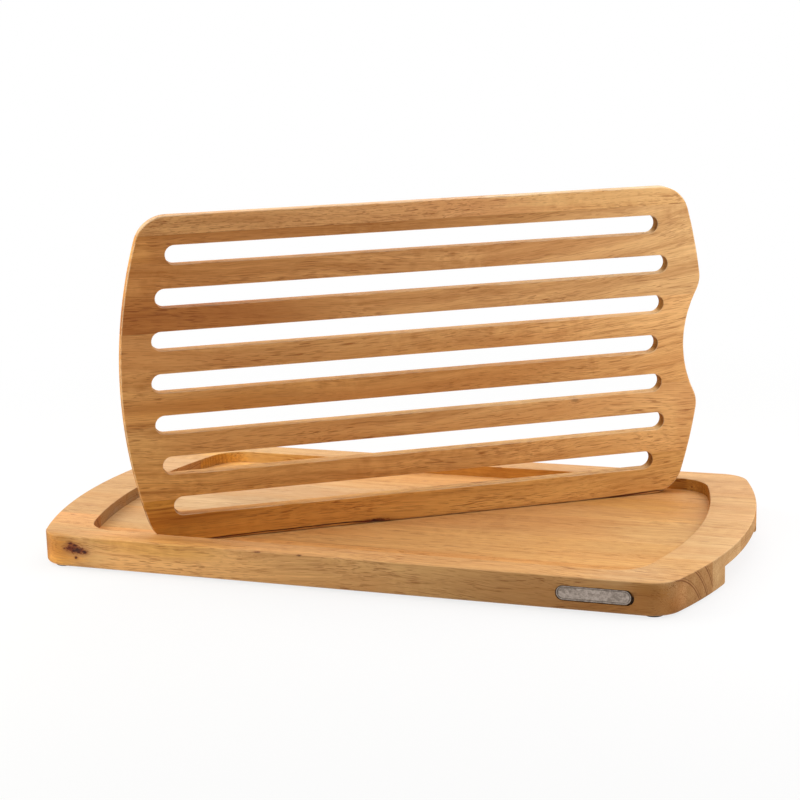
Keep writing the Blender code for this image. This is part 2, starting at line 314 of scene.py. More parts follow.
# Oiled hardwood, in millimetres. A pattern's size is (along, across) the grain, and the third
# number of a sway is how far it moves the grain. Levels are where a mark starts to show and where
# it is full, and with two more numbers how much of it shows at each.
woodLook = {
    "pale": (0.80, 0.465, 0.185),
    "deep": (0.46, 0.200, 0.056),
    "mixture": 0.40,
    "blush": (0.66, 0.31, 0.105),
    "blushPatches": (140.0, 30.0),
    "blushLevels": (0.45, 0.75, 0.0, 0.5),
    "halfStave": (200.0, 25.0),
    "seedStep": (44.0, 14.0, 8.0),
    "sway": (170.0, 60.0, 11.0),
    "wiggle": (38.0, 14.0, 1.1),
    "streak": (260.0, 7.5),
    "fibres": (14.0, 0.6),
    "figure": (5.5, 8.0),
    "figurePatches": (70.0, 25.0),
    "figureLevels": (0.5, 0.7),
    "curlLevels": (1.2, 0.5, 0.0, 1.4),
    "curlShare": 0.9,
    "endLevels": (0.45, 0.9),
    "ringDark": (0.26, 0.075, 0.018),
    "ringSway": (170.0, 60.0, 2.0),
    "ringStep": 8.0,
    "ringStart": 0.4,
    "ringFree": (34.0, 35.5),
    "lateRing": ((0.86, 0.94), (1.0, 0.95)),
    "secondRing": ((0.06, 0.11), (0.19, 0.12)),
    "secondShare": 0.6,
    "rings": 0.5,
    "faceRings": 0.10,
    "poreDark": (0.230, 0.055, 0.006),
    "drifts": (60.0, 9.0),
    "fleckSize": (11.0, 0.5),
    "fleckLevels": (0.595, 0.655),
    "fleckDrifts": (0.30, 0.62, 0.35, 1.0),
    "flecks": 0.45,
    "poreSize": (11.0, 1.0),
    "poreLevels": (0.66, 0.76),
    "poreDrifts": (0.42, 0.66),
    "pores": 0.6,
    "stainAndLightLevels": (1.25, 0.45),
    "stainAndLightFray": 0.9,
    "knotDark": (0.025, 0.003, 0.001),
    "knotRed": (0.15, 0.024, 0.003),
    # How far out a knot parts the grain, in knots, and how strongly
    "knotReach": 3.2,
    "knotPush": (0.0, -0.75, -0.75),
    # From where to where in a knot, and how strong
    "knotHalo": (2.4, 1.0, 0.35),
    "knotRim": (1.25, 0.85, 0.8),
    "knotHeart": (0.9, 0.4, 1.0),
    "haloFray": 0.8,
    "knotFray": 2.2,
    "knotCrumbs": (0.45, 0.8, 0.8),
    "leftEndLevels": (-0.85, -0.65),
    "leftSideLevels": (-0.9, -0.3),
    "sideLevels": (0.75, 0.35),
    # Paler colour of the round edges: wear, and a painted highlight
    "worn": (0.84, 0.68, 0.46),
    "wornAndLitSlopes": ((0.1, 0.4), (0.99, 0.85)),
    "wornAndLitPatches": (22.0, 6.0),
    "wornAndLitLevels": (0.35, 0.6),
    "floorSlopes": (0.9, 0.98),
    "floorHeights": (5.0, 3.5),
    "roughness": (0.48, 0.64),
    "wornRoughness": -0.08,
    "endRoughness": 0.35,
    "fleckRoughness": 0.15,
    "bump": 0.22 * mm,
    "bumpStrength": 0.7,
    "fleckHeight": -0.5,
    "fibreHeight": 0.6,
    "lineHeight": 0.35,
    "poreHeight": -0.8,
}


def oiledWood(name, wood, board):
    look = woodLook
    finish, tree, shader = newFinish(name)
    where, spot = placeInMillimetres(tree)
    shift = Vector(look["seedStep"]) * wood["seed"]

    # Each pattern has an offset of its own, so that no two run alike
    def pattern(vector, size, offset, **rest):
        along, across = size
        places = vectorCalc(tree, "MULTIPLY_ADD", vector, (1 / along, 1 / across, 1 / across))
        places.node.inputs[2].default_value = shift + Vector((offset, offset, offset))
        return noise(tree, places, **rest)

    def wander(vector, size, offset):
        *patches, amount = size
        drift = pattern(vector, patches, offset, detail=1.0, output="Color")
        moved = vectorCalc(tree, "SUBTRACT", drift, (0.5, 0.5, 0.5))
        moved = vectorCalc(tree, "MULTIPLY", moved, (0.0, amount * 2, amount * 2))
        return vectorCalc(tree, "ADD", vector, moved)

    def blend(total, share, weight):
        return calc(tree, "MULTIPLY_ADD", calc(tree, "SUBTRACT", share, 0.5), weight, total)

    def band(value, start, stop):
        return calc(tree, "MULTIPLY", fade(tree, value, *start), fade(tree, value, *stop))

    def retoned(share, base, tone):
        return tint(tree, share, base, vectorCalc(tree, "MULTIPLY", base, tone))

    # How far along and across the stave, from -1 to 1
    axes = tree.nodes.new("ShaderNodeSeparateXYZ")
    plug(tree, axes.inputs[0], vectorCalc(tree, "DIVIDE", spot, (*look["halfStave"], 1.0)))
    # The grain wanders, rises toward the right end and parts round the knots
    rise = tree.nodes.new("ShaderNodeCombineXYZ")
    past = calc(tree, "MAXIMUM", axes.outputs[0], 0.0)
    past = calc(tree, "MULTIPLY", past, past)
    plug(tree, rise.inputs[1], calc(tree, "MULTIPLY", past, -wood.get("bend", 0.0)))
    grain = vectorCalc(tree, "ADD", spot, rise.outputs[0])
    grain = wander(wander(grain, look["sway"], 3.1), look["wiggle"], 8.7)
    knotsAndShade = []
    for place, size, strength in wood.get("knotsAndShade", ()):
        near = howFar(tree, spot, place, [length * look["knotReach"] for length in size])
        away = vectorCalc(tree, "SUBTRACT", spot, place)
        push = vectorCalc(tree, "MULTIPLY", away, look["knotPush"])
        grain = vectorCalc(tree, "ADD", grain, scaled(tree, push, fade(tree, near, 1.0, 0.0)))
        knotsAndShade.append((howFar(tree, spot, place, size), strength))
    streak = pattern(grain, look["streak"], 1.0, detail=2.0, roughness=0.6)
    lines = pattern(grain, board["lines"], 5.0, detail=3.0, roughness=0.62)
    fibres = pattern(grain, look["fibres"], 9.0, detail=3.0, roughness=0.65)
    mixture = look["mixture"]
    for layer, weight in zip((streak, lines, fibres), board["weights"]):
        mixture = blend(mixture, layer, weight)
    # Curly figure, in patches and where the stave has curls
    figure = pattern(spot, look["figure"], 15.0, detail=2.0)
    patches = pattern(spot, look["figurePatches"], 17.0, detail=1.0)
    figured = fade(tree, patches, *look["figureLevels"])
    for place, size in wood.get("curls", ()):
        curly = fade(tree, howFar(tree, spot, place, size), *look["curlLevels"])
        figured = calc(tree, "MAXIMUM", figured, curly)
    curl = calc(tree, "MULTIPLY", calc(tree, "SUBTRACT", figure, 0.5), figured)
    mixture = calc(tree, "MULTIPLY_ADD", curl, look["curlShare"], mixture, clamp=True)
    colour = tint(tree, mixture, look["pale"], look["deep"])
    patches = pattern(spot, look["blushPatches"], 12.0, detail=1.0)
    colour = tint(tree, fade(tree, patches, *look["blushLevels"]), colour, look["blush"])
    # Growth rings, which show most on the end grain
    endGrain = fade(tree, facing(tree, where, (1.0, 0.0, 0.0)), *look["endLevels"])
    swayed = wander(spot, look["ringSway"], 3.1)
    fromPith = vectorCalc(tree, "SUBTRACT", swayed, (0.0, *wood["pith"]))
    radius = vectorCalc(tree, "LENGTH", vectorCalc(tree, "MULTIPLY", fromPith, (0.0, 1.0, 1.0)))
    perRing = 1 / wood.get("ringStep", look["ringStep"])
    phase = calc(tree, "FRACT", calc(tree, "MULTIPLY_ADD", radius, perRing, look["ringStart"]))
    late, second = band(phase, *look["lateRing"]), band(phase, *look["secondRing"])
    rings = calc(tree, "MULTIPLY_ADD", second, look["secondShare"], late)
    rings = calc(tree, "MULTIPLY", rings, fade(tree, radius, *look["ringFree"]))
    shown = wood.get("rings", look["rings"])
    shown = calc(tree, "MULTIPLY_ADD", endGrain, shown, look["faceRings"])
    colour = tint(tree, calc(tree, "MULTIPLY", rings, shown), colour, look["ringDark"])
    # Short dark flecks and longer open pores, in drifts
    drift = pattern(spot, look["drifts"], 31.0, detail=2.0)
    fleck = pattern(grain, wood.get("fleckSize", look["fleckSize"]), 20.0, detail=0.5)
    fleck = fade(tree, fleck, *look["fleckLevels"])
    fleck = calc(tree, "MULTIPLY", fleck, fade(tree, drift, *look["fleckDrifts"]))
    fleckShare = calc(tree, "MULTIPLY", fleck, wood.get("flecks", look["flecks"]))
    colour = tint(tree, fleckShare, colour, look["poreDark"])
    pore = fade(tree, pattern(grain, look["poreSize"], 25.0, detail=0.0), *look["poreLevels"])
    pore = calc(tree, "MULTIPLY", pore, fade(tree, drift, *look["poreDrifts"]))
    colour = tint(tree, calc(tree, "MULTIPLY", pore, look["pores"]), colour, look["poreDark"])
    # Stains are soft patches of the wood's own colour, and some patches paint the light and shade
    # that falls on the wood; all are frayed along the grain
    for place, size, patchTone, strength in wood.get("stainsAndPaintedLight", ()):
        soft = blend(howFar(tree, grain, place, size), lines, look["stainAndLightFray"])
        soft = blend(soft, streak, look["stainAndLightFray"])
        colour = retoned(fade(tree, soft, *look["stainAndLightLevels"], 0.0, strength), colour, patchTone)
    # A knot has a red halo, a red rim and a dark heart
    crumbs = vectorCalc(tree, "MULTIPLY", spot, look["knotCrumbs"])
    crumbs = noise(tree, crumbs, detail=3.0, roughness=0.7)
    for away, strength in knotsAndShade:
        halo, ragged = blend(away, lines, look["haloFray"]), blend(away, crumbs, look["knotFray"])
        marks = [(halo, "knotHalo", "knotRed"), (ragged, "knotRim", "knotRed")]
        marks += [(ragged, "knotHeart", "knotDark")]
        for reached, levels, dark in marks:
            outer, inner, share = look[levels]
            marked = fade(tree, reached, outer, inner, 0.0, strength * share)
            colour = tint(tree, marked, colour, look[dark])
    # The stave's own tone, and how it drifts toward its right end and its upper edge; the drifts
    # also paint how the light changes along the stave, such as the paler sheen toward the grid's
    # right end
    tone = wood["tone"]
    for socket, change in zip(axes.outputs, (wood.get("endDrift"), wood.get("edgeDrift"))):
        if change:
            tone = vectorCalc(tree, "ADD", scaled(tree, change, socket), tone)
    toned = vectorCalc(tree, "MULTIPLY", colour, tone)
    # End grain drinks more oil, so it is darker, and the sides have a tone of their own; the tones
    # set per stave and toward the left end also paint the light and shade that falls on those faces
    endTone = wood.get("endTone", board["endTone"])
    sideTone = wood.get("sideTone", board["sideTone"])
    if "leftEndTone" in wood:
        left = fade(tree, axes.outputs[0], *look["leftEndLevels"])
        endTone = tint(tree, left, wood["leftEndTone"], endTone)
    if "leftSideTone" in wood:
        left = fade(tree, axes.outputs[0], *look["leftSideLevels"])
        sideTone = tint(tree, left, wood["leftSideTone"], sideTone)
    slope = facing(tree, where, (0.0, 0.0, 1.0))
    toned = retoned(endGrain, toned, endTone)
    toned = retoned(fade(tree, slope, *look["sideLevels"]), toned, sideTone)
    # Round edges are rubbed paler by hands and cloths, and are also painted paler as a highlight
    # where they catch the light
    edgePatches = fade(tree, pattern(spot, look["wornAndLitPatches"], 41.0, detail=3.0), *look["wornAndLitLevels"])
    worn = calc(tree, "MULTIPLY", band(slope, *look["wornAndLitSlopes"]), edgePatches)
    toned = tint(tree, calc(tree, "MULTIPLY", worn, board["wornAndLitShare"]), toned, look["worn"])
    # The well's floor
    if "wellTone" in board:
        level = vectorCalc(tree, "DOT_PRODUCT", spot, (0.0, 0.0, 1.0))
        low = fade(tree, level, *look["floorHeights"])
        flat = fade(tree, slope, *look["floorSlopes"])
        toned = retoned(calc(tree, "MULTIPLY", flat, low), toned, board["wellTone"])
    plug(tree, shader.inputs["Base Color"], toned)
    # Satin oil over the fibres
    smooth, coarse = look["roughness"]
    rough = calc(tree, "MULTIPLY_ADD", fibres, coarse - smooth, smooth)
    rough = calc(tree, "MULTIPLY_ADD", worn, look["wornRoughness"], rough)
    rough = calc(tree, "MULTIPLY_ADD", endGrain, look["endRoughness"], rough)
    rough = calc(tree, "MULTIPLY_ADD", fleck, look["fleckRoughness"], rough, clamp=True)
    plug(tree, shader.inputs["Roughness"], rough)
    shader.inputs["Specular IOR Level"].default_value = board["gloss"]
    height = blend(calc(tree, "MULTIPLY", fleck, look["fleckHeight"]), fibres, look["fibreHeight"])
    height = blend(height, lines, look["lineHeight"])
    height = calc(tree, "MULTIPLY_ADD", pore, look["poreHeight"], height)
    addRelief(tree, shader, height, look["bump"], look["bumpStrength"])
    return finish


# The tray, with its sunk crumb well
trayNames = [f"tray_stave_{number}" for number in range(1, 6)]
trayLow, trayHigh = boxOf(trayNames)
trayLength, trayWidth = trayHigh.x - trayLow.x, trayHigh.y - trayLow.y
tray = {
    "endRadius": 320 * mm,
    "cornerRadius": 20 * mm,
    "topRound": 0.8 * mm,
    "bottomRound": 2 * mm,
    "endRim": 30 * mm,
    "sideRim": 19 * mm,
    "wellDepth": 7.8 * mm,
    "wellEndRadius": 315 * mm,
    "wellCornerRadius": 23 * mm,
    "lipRound": 0.6 * mm,
    "holdWidth": 113 * mm,
    "holdDepth": 14 * mm,
    "holdCornerRadius": 6 * mm,
    "holdLip": 8.3 * mm,
    "gloss": 0.22,
    "weights": (0.85, 1.05, 0.7),
    "lines": (105.0, 1.2),
    "sideTone": (1.0, 1.0, 1.0),
    "wornAndLitShare": 0.05,
    "endTone": (0.64, 0.60, 0.52),
    "wellTone": (1.055, 0.968, 0.79),
}
# Per stave, front to back, with places in millimetres from the stave's middle.
# A knot is (place, size, strength), a stain or patch of painted light and shade (place, size, tone,
# strength) and a curl (place, size).
trayWoods = (
    {
        "seed": 1,
        "tone": (0.965, 0.97, 0.975),
        "endDrift": (-0.09, -0.06, -0.07),
        "endTone": (0.60, 0.54, 0.485),
        "pith": (-23.0, -25.3),
        "rings": 0.85,
        "knotsAndShade": (
            ((-180.6, -25.0, 2.2), (3.1, 5.0, 1.8), 1.0),
            ((-175.6, -25.0, 1.3), (5.2, 5.0, 2.4), 0.95),
            ((-170.8, -25.0, 0.6), (2.2, 5.0, 1.3), 0.9),
            ((-180.2, -25.0, 5.4), (1.8, 5.0, 0.9), 0.9),
            ((-177.4, -25.0, 4.3), (1.9, 5.0, 1.0), 0.9),
            ((-176.8, -25.0, -3.6), (1.0, 3.0, 0.8), 1.0),
            ((-184.8, -25.0, 1.9), (0.8, 3.0, 0.6), 0.7),
            ((-52.0, -24.6, 9.6), (2.2, 0.9, 0.5), 0.55),
            ((-24.5, -24.6, 9.6), (1.8, 0.9, 0.5), 0.6),
        ),
        "stainsAndPaintedLight": (
            ((-197.0, -25.0, 0.0), (42.0, 30.0, 30.0), (0.74, 0.78, 0.80), 0.9),
            ((-207.0, -27.0, -2.0), (34.0, 8.0, 16.0), (1.02, 0.80, 0.38), 0.9),
            ((-200.0, -27.0, 8.0), (24.0, 10.0, 10.0), (0.82, 0.75, 0.54), 0.9),
            ((-195.0, 17.0, 14.0), (36.0, 14.0, 10.0), (0.92, 0.90, 0.91), 0.9),
            ((-190.0, -27.0, -9.0), (16.0, 8.0, 6.0), (1.18, 1.28, 1.28), 0.9),
            # Painted shade on the rim top in front of the grid's lower corner
            ((-118.0, -21.0, 12.0), (52.0, 11.0, 11.0), (0.82, 0.76, 0.54), 0.95),
            # Painted shade, a duller and bluer well floor at the left
            ((-150.0, 14.0, -2.0), (60.0, 14.0, 10.0), (0.82, 0.88, 1.10), 0.9),
            ((-100.0, -25.0, 0.0), (90.0, 6.0, 14.0), (1.17, 1.19, 1.19), 0.9),
            ((175.0, -6.0, 14.0), (32.0, 22.0, 9.0), (0.99, 1.08, 1.34), 0.9),
            ((222.0, 21.0, -6.0), (14.0, 6.0, 10.0), (0.86, 0.82, 0.80), 0.8),
            ((128.0, -25.0, 0.0), (62.0, 6.0, 14.0), (0.85, 0.79, 0.73), 0.9),
            # Painted shade where the light falls off on the front face's right part
            ((205.0, -27.0, -4.0), (75.0, 14.0, 18.0), (0.78, 0.63, 0.42), 0.9),
            ((190.0, -26.0, 8.0), (17.0, 10.0, 7.0), (0.80, 0.68, 0.46), 0.9),
            ((205.0, -12.0, 1.5), (8.0, 12.0, 9.0), (1.23, 1.23, 1.29), 0.9),
            # Painted shade, dark in the badge's pocket
            ((156.9, -23.1, 0.0), (24.0, 1.0, 12.0), (0.045, 0.035, 0.03), 1.0),
            ((180.0, -23.1, 0.0), (5.0, 1.0, 6.0), (0.045, 0.035, 0.03), 1.0),
        ),
    },
    {
        "seed": 2,
        "tone": (0.92, 1.0, 1.1),
        "flecks": 0.2,
        "pith": (12.0, -70.0),
        "stainsAndPaintedLight": (
            # Painted shade, a duller and bluer well floor at the left
            ((-165.0, 0.0, -2.0), (75.0, 44.0, 10.0), (0.77, 0.86, 1.14), 0.9),
            ((-208.0, 0.0, 14.0), (32.0, 34.0, 10.0), (0.84, 0.80, 0.80), 0.9),
            ((205.0, 3.0, 14.0), (40.0, 34.0, 10.0), (0.87, 0.90, 0.95), 0.9),
            ((150.0, 4.0, -2.0), (45.0, 22.0, 10.0), (0.88, 0.91, 0.96), 0.8),
            ((60.0, 24.3, -2.0), (150.0, 0.9, 10.0), (1.12, 1.14, 1.18), 0.7),
            ((-20.0, -23.4, -2.0), (150.0, 1.6, 10.0), (0.84, 0.76, 0.68), 0.8),
            ((-40.0, -4.0, -2.0), (60.0, 7.0, 10.0), (0.98, 0.91, 0.84), 0.8),
        ),
        "rings": 0.15,
        "endTone": (0.74, 0.745, 0.745),
    },
    {
        "seed": 3,
        "tone": (0.89, 0.95, 1.08),
        "flecks": 0.2,
        "pith": (-18.0, -95.0),
        "rings": 0.2,
        "endTone": (0.665, 0.635, 0.565),
        "stainsAndPaintedLight": (
            # Painted shade, a duller and bluer well floor at the left
            ((-125.0, 0.0, -2.0), (110.0, 46.0, 10.0), (0.78, 0.93, 1.34), 0.95),
            ((-154.0, -8.0, -2.0), (26.0, 28.0, 10.0), (1.16, 1.21, 1.26), 0.85),
            ((168.0, -5.0, -2.0), (50.0, 34.0, 10.0), (0.98, 1.10, 1.26), 0.9),
            ((-208.0, 0.0, 14.0), (32.0, 34.0, 10.0), (0.90, 0.91, 0.93), 0.9),
            ((205.0, 0.0, 14.0), (40.0, 34.0, 10.0), (0.90, 0.91, 0.84), 0.9),
        ),
    },
    {
        "seed": 4,
        "tone": (0.88, 0.96, 1.16),
        "endDrift": (0.0, 0.0, -0.08),
        "flecks": 0.2,
        "pith": (30.0, -60.0),
        "endTone": (0.80, 0.65, 0.43),
        "stainsAndPaintedLight": (
            # Painted bounce light, golden on the well floor at the right back
            ((130.0, 16.0, -2.0), (75.0, 26.0, 10.0), (0.97, 0.91, 0.66), 0.9),
            # Painted shade, a duller and bluer floor behind the grid
            ((-110.0, -5.0, -2.0), (120.0, 40.0, 10.0), (0.86, 0.97, 1.25), 0.9),
        ),
    },
    {
        "seed": 5,
        "tone": (0.90, 0.95, 1.08),
        "flecks": 0.2,
        "pith": (-70.0, 4.0),
        "ringStep": 2.6,
        "rings": 0.6,
        "endTone": (0.74, 0.66, 0.53),
        # Side faces tinted golden: painted bounce light on the well's back wall, less of it toward
        # the left end
        "sideTone": (0.95, 0.80, 0.36),
        "leftSideTone": (1.05, 1.06, 0.82),
        "stainsAndPaintedLight": (
            ((-165.0, 6.0, 5.0), (60.0, 16.0, 9.0), (1.12, 1.22, 1.30), 0.9),
            # Painted bounce light, golden in the well's back-left corner
            ((-182.0, -8.0, 2.6), (30.0, 24.0, 4.0), (1.22, 1.10, 0.62), 1.0),
            # Painted shade where the grid's lower corner meets the well's back wall
            ((152.0, 2.0, 1.0), (16.0, 9.0, 9.0), (0.70, 0.50, 0.24), 0.9),
        ),
    },
)

# The metal badge, let into the front edge
badge = {
    "length": 44.3 * mm,
    "height": 8.7 * mm,
    "round": 0.3 * mm,
    "sink": 0.4 * mm,
    "seatGap": 0.3 * mm,
    "endGap": 1.7 * mm,
    "rim": 0.65 * mm,
    "rimSlope": 0.3 * mm,
    "fieldDrop": 0.4 * mm,
    "pale": (0.40, 0.335, 0.29),
    "dull": (0.215, 0.175, 0.145),
    # Dark for grime specks, and for the painted shade and shadow below
    "grimeAndShade": (0.035, 0.028, 0.022),
    "blotches": (0.45, 0.6, 0.6),
    "dullLevels": (0.34, 0.70),
    "speckle": (2.6, 2.6, 2.6),
    "speckleLevels": (0.56, 0.72, 0.0, 0.30),
    # Patina with painted shade inside the rim, and a painted shadow round the plate's edge
    "cornerPatinaAndShade": (0.5, 0.05, 0.0, 0.6),
    "edgeShadow": (0.35, 0.0, 0.0, 0.9),
    "cornerFray": 0.8,
    "scratches": (0.35, 6.0, 6.0),
    "roughness": 0.28,
    "blotchRoughness": 0.30,
    "scratchRoughness": 0.12,
    "bump": 0.12 * mm,
    "bumpStrength": 0.5,
    "speckleHeight": 0.5,
    "scratchHeight": 0.3,
}
badgeLow, badgeHigh = boxOf(["badge_plate"])
badgeMiddle = (badgeLow + badgeHigh) / 2

footNames = [f"foot_{side}" for side in ("front_left", "front_right", "back_left", "back_right")]
feet = {
    "round": 0.5 * mm,
    "seatGap": 0.3 * mm,
    "dishShare": 0.55,
    "dishDepth": 0.5 * mm,
    "dishSlope": 0.6 * mm,
    "black": (0.018, 0.018, 0.018),
    "dusty": (0.075, 0.07, 0.065),
    "patches": (0.25, 0.25, 0.25),
    "patchLevels": (0.42, 0.68),
    "grit": (3.0, 3.0, 3.0),
    "gritLevels": (0.4, 0.7),
    "roughness": 0.62,
    "dustRoughness": 0.25,
    "bump": 0.05 * mm,
    "bumpStrength": 0.4,
}


def holdCut(side):
    inner = trayLength / 2 - tray["holdDepth"]
    outer = trayLength / 2 + tray["holdCornerRadius"] + fineness["overrun"]
    outline = roundedBox(inner, outer, tray["holdWidth"], tray["holdCornerRadius"])
    levels = [(trayLow.z - fineness["overrun"], 0.0), (trayHigh.z - tray["holdLip"], 0.0)]
    cut = loft("holdCut", outline, levels)
    if side < 0:
        cut.transform(Matrix.Rotation(math.pi, 4, "Z"))
    return cut


def frontEdgePlace():
    middle = Matrix.Translation((badgeMiddle.x, trayLow.y, badgeMiddle.z))
    return middle @ Matrix.Rotation(quarter, 4, "X")


def pocketCut():
    gap, half = badge["seatGap"], badge["length"] / 2
    outline = stadium(-half - gap, half + badge["endGap"], 0, badge["height"] + 2 * gap)
    depth = badgeHigh.y - trayLow.y + gap
    cut = loft("pocketCut", outline, [(-depth, 0.0), (fineness["overrun"], 0.0)])
    cut.transform(frontEdgePlace())
    return cut


def footPlace(name):
    low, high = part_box(name)
    return (low.x + high.x) / 2, (low.y + high.y) / 2, (high.x - low.x) / 2, high.z


def seatCut(name):
    x, y, radius, top = footPlace(name)
    disc = [(x, y, radius + feet["seatGap"], 0, 2 * math.pi, fineness["foot"])]
    return loft("seatCut", disc, [(-fineness["overrun"], 0.0), (top + feet["seatGap"], 0.0)])


def makeTray():
    outline = barrel(trayLength, trayWidth, tray["endRadius"], tray["cornerRadius"])
    levels = slabLevels(trayLow.z, trayHigh.z, tray["bottomRound"], tray["topRound"])
    wellLength, wellWidth = trayLength - 2 * tray["endRim"], trayWidth - 2 * tray["sideRim"]
    well = barrel(wellLength, wellWidth, tray["wellEndRadius"], tray["wellCornerRadius"])
    wellLevels = blindLevels(trayHigh.z - tray["wellDepth"], trayHigh.z, tray["lipRound"])
    cuts = [loft("wellCut", well, wellLevels), holdCut(1), holdCut(-1), pocketCut()]
    cuts += [seatCut(name) for name in footNames]
    blank = carve("trayBlank", loft("trayPlate", outline, levels), cuts)
    over = fineness["overrun"]
    for number, (node, wood) in enumerate(zip(trayNames, trayWoods), 1):
        low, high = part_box(node)
        front = low.y - over * (number == 1)
        back = high.y + over * (number == len(trayNames))
        lowCorner = (trayLow.x - over, front, trayLow.z - over)
        highCorner = (trayHigh.x + over, back, trayHigh.z + over)
        keep = block("keep", lowCorner, highCorner)
        stave = carve(f"trayStave{number}", blank.copy(), [], keep)
        middle = Vector((0, (low.y + high.y) / 2, (trayLow.z + trayHigh.z) / 2))
        stave.transform(Matrix.Translation(-middle))
        place = Matrix.Translation(middle)
        finish = oiledWood(f"trayWood{number}", wood, tray)
        addPiece(f"trayStave{number}", stave, finish, "tray", node, place)


makeTray()
print("tray glued up")

# The slatted grid, built flat and then stood in the well
gridNames = [f"grid_stave_{number}" for number in range(1, 6)]
grid = {
    "thickness": 8 * mm,
    "length": 387.2 * mm,
    "width": 208.4 * mm,
    "endRadius": 313.6 * mm,
    "cornerRadius": 21 * mm,
    "edgeRound": 1 * mm,
    "slotCount": 7,
    "slotWidth": 12 * mm,
    "edgeBar": 18.2 * mm,
    "slotRound": 0.6 * mm,
    "leftLand": 18.9 * mm,
    "rightLand": 18.6 * mm,
    "landGrowth": 1.7 * mm,
    "topSlotInset": 1.5 * mm,
    "notch": (13.6 * mm, 75 * mm, 20 * mm),  # depth, radius of the hollow, radius of its shoulders
    "jointShares": (0.0, 0.139, 0.368, 0.654, 0.944, 1.0),
    "glueLine": 0.05 * mm,
    "gloss": 0.18,
    "weights": (1.5, 1.0, 0.9),
    "lines": (66.0, 1.3),
    "sideTone": (0.92, 0.98, 1.06),
    "wornAndLitShare": 0.4,
    "endTone": (0.49, 0.36, 0.19),
}
stand = {
    "lean": math.radians(2.85),
    "shift": 11.8 * mm,
    "wallGap": 0.6 * mm,
    "floorGap": 0.3 * mm,
}
